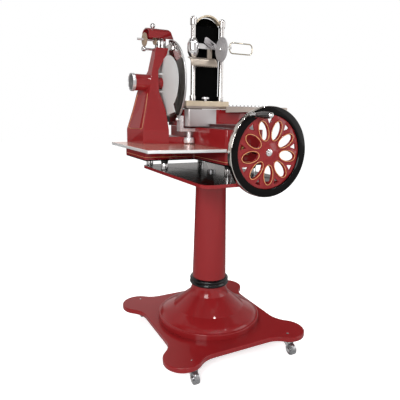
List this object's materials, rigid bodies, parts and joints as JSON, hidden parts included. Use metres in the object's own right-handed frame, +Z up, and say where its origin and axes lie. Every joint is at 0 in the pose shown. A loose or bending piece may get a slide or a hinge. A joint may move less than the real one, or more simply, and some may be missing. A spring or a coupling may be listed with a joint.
{
  "type": "hand crank meat slicer",
  "caption": "Hand crank meat slicer: petalled flywheel, round blade with guard, sliding meat table with post clamp and slice tray, on a wheeled pedestal.",
  "frame": {"origin": "centre of the whole footprint, on the floor under the casters", "axes": "+X from the slice tray towards the meat table along the blade shaft, +Y away from the flywheel along the carriage's stroke, +Z up"},
  "size_m": [0.837, 0.921, 1.513],
  "materials": {
    "black_grip": "gloss",
    "black_plate": "gloss",
    "bronze": "satin",
    "brushed_plate": "satin",
    "caster_tread": "matte",
    "chain_steel": "satin",
    "cream_bar": "gloss",
    "dark_rim": "polished",
    "gear_iron": "matte",
    "grit": "matte",
    "polished_steel": "polished",
    "stand_red": "gloss"
  },
  "bodies": {
    "stand_and_frame": {"base_plate": "stand_red", "bell_foot": "stand_red", "foot_collar": "black_plate", "column": "stand_red", "head_plate": "black_plate", "tie_rod": "brushed_plate", "machine_feet": "polished_steel", "foot_pads": "caster_tread", "base_cover": "black_plate", "machine_base": "stand_red", "slice_tray": "brushed_plate", "tower": "stand_red", "tower_panel": "stand_red", "shaft_cap": "polished_steel", "shaft_bushes": "bronze", "blade_guard": "polished_steel", "guard_bracket": "polished_steel", "slice_shield": "brushed_plate", "slide_way": "brushed_plate", "sharpener_arm": "polished_steel", "sharpener_cover": "stand_red", "drive_chain": "chain_steel"},
    "crank_wheel": {"flywheel_rim": "dark_rim", "flywheel_web": "stand_red", "crank_pin": "polished_steel", "drive_shaft": "polished_steel", "drive_bevel": "gear_iron"},
    "crank_grip": {"crank_grip": "black_grip"},
    "cross_drive": {"cross_bevel": "gear_iron", "cross_shaft": "brushed_plate"},
    "blade_spindle": {"blade": "polished_steel", "blade_shaft": "brushed_plate"},
    "carriage": {"carriage": "stand_red", "carriage_cover": "brushed_plate"},
    "meat_table": {"meat_table": "brushed_plate", "post_bar": "cream_bar", "spike_rail": "brushed_plate", "posts": "polished_steel", "post_arch": "polished_steel", "back_panel": "black_plate"},
    "feed_screw": {"feed_screw": "polished_steel"},
    "wing_knob": {"wing_knob": "polished_steel"},
    "clamp": {"clamp_body": "polished_steel", "press_bar": "polished_steel"},
    "clamp_lever": {"clamp_lever": "polished_steel"},
    "clamp_disc": {"clamp_disc": "brushed_plate"},
    "wire_loop": {"wire_loop": "polished_steel"},
    "thickness_dial": {"thickness_dial": "polished_steel"},
    "grinding_wheel": {"grinding_wheel": "grit"},
    "honing_wheel": {"honing_wheel": "grit"},
    "caster_fork_front_left": {"caster_fork_front_left": "polished_steel"},
    "caster_wheel_front_left": {"caster_wheel_front_left": "caster_tread"},
    "caster_fork_front_right": {"caster_fork_front_right": "polished_steel"},
    "caster_wheel_front_right": {"caster_wheel_front_right": "caster_tread"},
    "caster_fork_back_right": {"caster_fork_back_right": "polished_steel"},
    "caster_wheel_back_right": {"caster_wheel_back_right": "caster_tread"},
    "caster_fork_back_left": {"caster_fork_back_left": "polished_steel"},
    "caster_wheel_back_left": {"caster_wheel_back_left": "caster_tread"}
  },
  "joints": [
    {"name": "caster_swivel_front_left", "type": "hinge", "parent": "stand_and_frame", "child": "caster_fork_front_left", "pos_m": [-0.2865, -0.2905, 0.065], "axis": [0, 0, 1], "continuous": true},
    {"name": "caster_roll_front_left", "type": "hinge", "parent": "caster_fork_front_left", "child": "caster_wheel_front_left", "pos_m": [-0.2865, -0.3205, 0.026], "axis": [1, 0, 0], "continuous": true},
    {"name": "caster_swivel_front_right", "type": "hinge", "parent": "stand_and_frame", "child": "caster_fork_front_right", "pos_m": [0.2055, -0.2905, 0.065], "axis": [0, 0, 1], "continuous": true},
    {"name": "caster_roll_front_right", "type": "hinge", "parent": "caster_fork_front_right", "child": "caster_wheel_front_right", "pos_m": [0.2055, -0.3205, 0.026], "axis": [1, 0, 0], "continuous": true},
    {"name": "caster_swivel_back_right", "type": "hinge", "parent": "stand_and_frame", "child": "caster_fork_back_right", "pos_m": [0.2055, 0.3455, 0.065], "axis": [0, 0, 1], "continuous": true},
    {"name": "caster_roll_back_right", "type": "hinge", "parent": "caster_fork_back_right", "child": "caster_wheel_back_right", "pos_m": [0.2055, 0.3155, 0.026], "axis": [1, 0, 0], "continuous": true},
    {"name": "caster_swivel_back_left", "type": "hinge", "parent": "stand_and_frame", "child": "caster_fork_back_left", "pos_m": [-0.2865, 0.3455, 0.065], "axis": [0, 0, 1], "continuous": true},
    {"name": "caster_roll_back_left", "type": "hinge", "parent": "caster_fork_back_left", "child": "caster_wheel_back_left", "pos_m": [-0.2865, 0.3155, 0.026], "axis": [1, 0, 0], "continuous": true},
    {"name": "crank_turn", "type": "hinge", "parent": "stand_and_frame", "child": "crank_wheel", "pos_m": [0.0195, -0.3375, 0.932], "axis": [0, 1, 0], "continuous": true},
    {"name": "grip_turn", "type": "hinge", "parent": "crank_wheel", "child": "crank_grip", "pos_m": [-0.0705, -0.4175, 1.076], "axis": [0, 1, 0], "continuous": true},
    {"name": "cross_turn", "type": "hinge", "parent": "stand_and_frame", "child": "cross_drive", "pos_m": [-0.2305, 0.2765, 0.932], "axis": [1, 0, 0], "continuous": true},
    {"name": "blade_turn", "type": "hinge", "parent": "stand_and_frame", "child": "blade_spindle", "pos_m": [-0.1465, 0.2765, 1.217], "axis": [1, 0, 0], "continuous": true},
    {"name": "carriage_slide", "type": "slide", "parent": "stand_and_frame", "child": "carriage", "axis": [0, 1, 0], "range_m": [-0.12, 0.1]},
    {"name": "table_feed", "type": "slide", "parent": "carriage", "child": "meat_table", "axis": [1, 0, 0], "range_m": [0, 0.18]},
    {"name": "feed_screw_turn", "type": "hinge", "parent": "meat_table", "child": "feed_screw", "pos_m": [0.4095, 0.2075, 1.08], "axis": [1, 0, 0], "range_deg": [0, 6480]},
    {"name": "wing_knob_turn", "type": "hinge", "parent": "meat_table", "child": "wing_knob", "pos_m": [-0.0355, 0.1085, 1.135], "axis": [0, 0, 1], "range_deg": [-720, 0]},
    {"name": "clamp_slide", "type": "slide", "parent": "meat_table", "child": "clamp", "axis": [0, 0, 1], "range_m": [-0.16, 0.055]},
    {"name": "clamp_lever_turn", "type": "hinge", "parent": "clamp", "child": "clamp_lever", "pos_m": [-0.0125, 0.0875, 1.376], "axis": [0, 1, 0], "range_deg": [-25, 55]},
    {"name": "clamp_disc_turn", "type": "hinge", "parent": "clamp", "child": "clamp_disc", "pos_m": [-0.0065, 0.0275, 1.357], "axis": [1, 0, 0], "continuous": true},
    {"name": "wire_loop_turn", "type": "hinge", "parent": "clamp", "child": "wire_loop", "pos_m": [0.0405, 0.0275, 1.357], "axis": [0, 0, 1], "range_deg": [-70, 55]},
    {"name": "thickness_dial_turn", "type": "hinge", "parent": "stand_and_frame", "child": "thickness_dial", "pos_m": [-0.1025, 0.14084, 0.952], "axis": [0, 0, 1], "range_deg": [0, 300]},
    {"name": "grinding_wheel_turn", "type": "hinge", "parent": "stand_and_frame", "child": "grinding_wheel", "pos_m": [-0.2705, 0.2835, 1.412], "axis": [1, 0, 0], "continuous": true},
    {"name": "honing_wheel_turn", "type": "hinge", "parent": "stand_and_frame", "child": "honing_wheel", "pos_m": [-0.2185, 0.2835, 1.412], "axis": [1, 0, 0], "continuous": true}
  ],
  "couplings": [
    {"joint": "cross_turn", "follows": "crank_turn", "ratio": -1},
    {"joint": "blade_turn", "follows": "crank_turn", "ratio": -1},
    {"joint": "feed_screw_turn", "follows": "table_feed", "rad_per_m": 628.32}
  ]
}
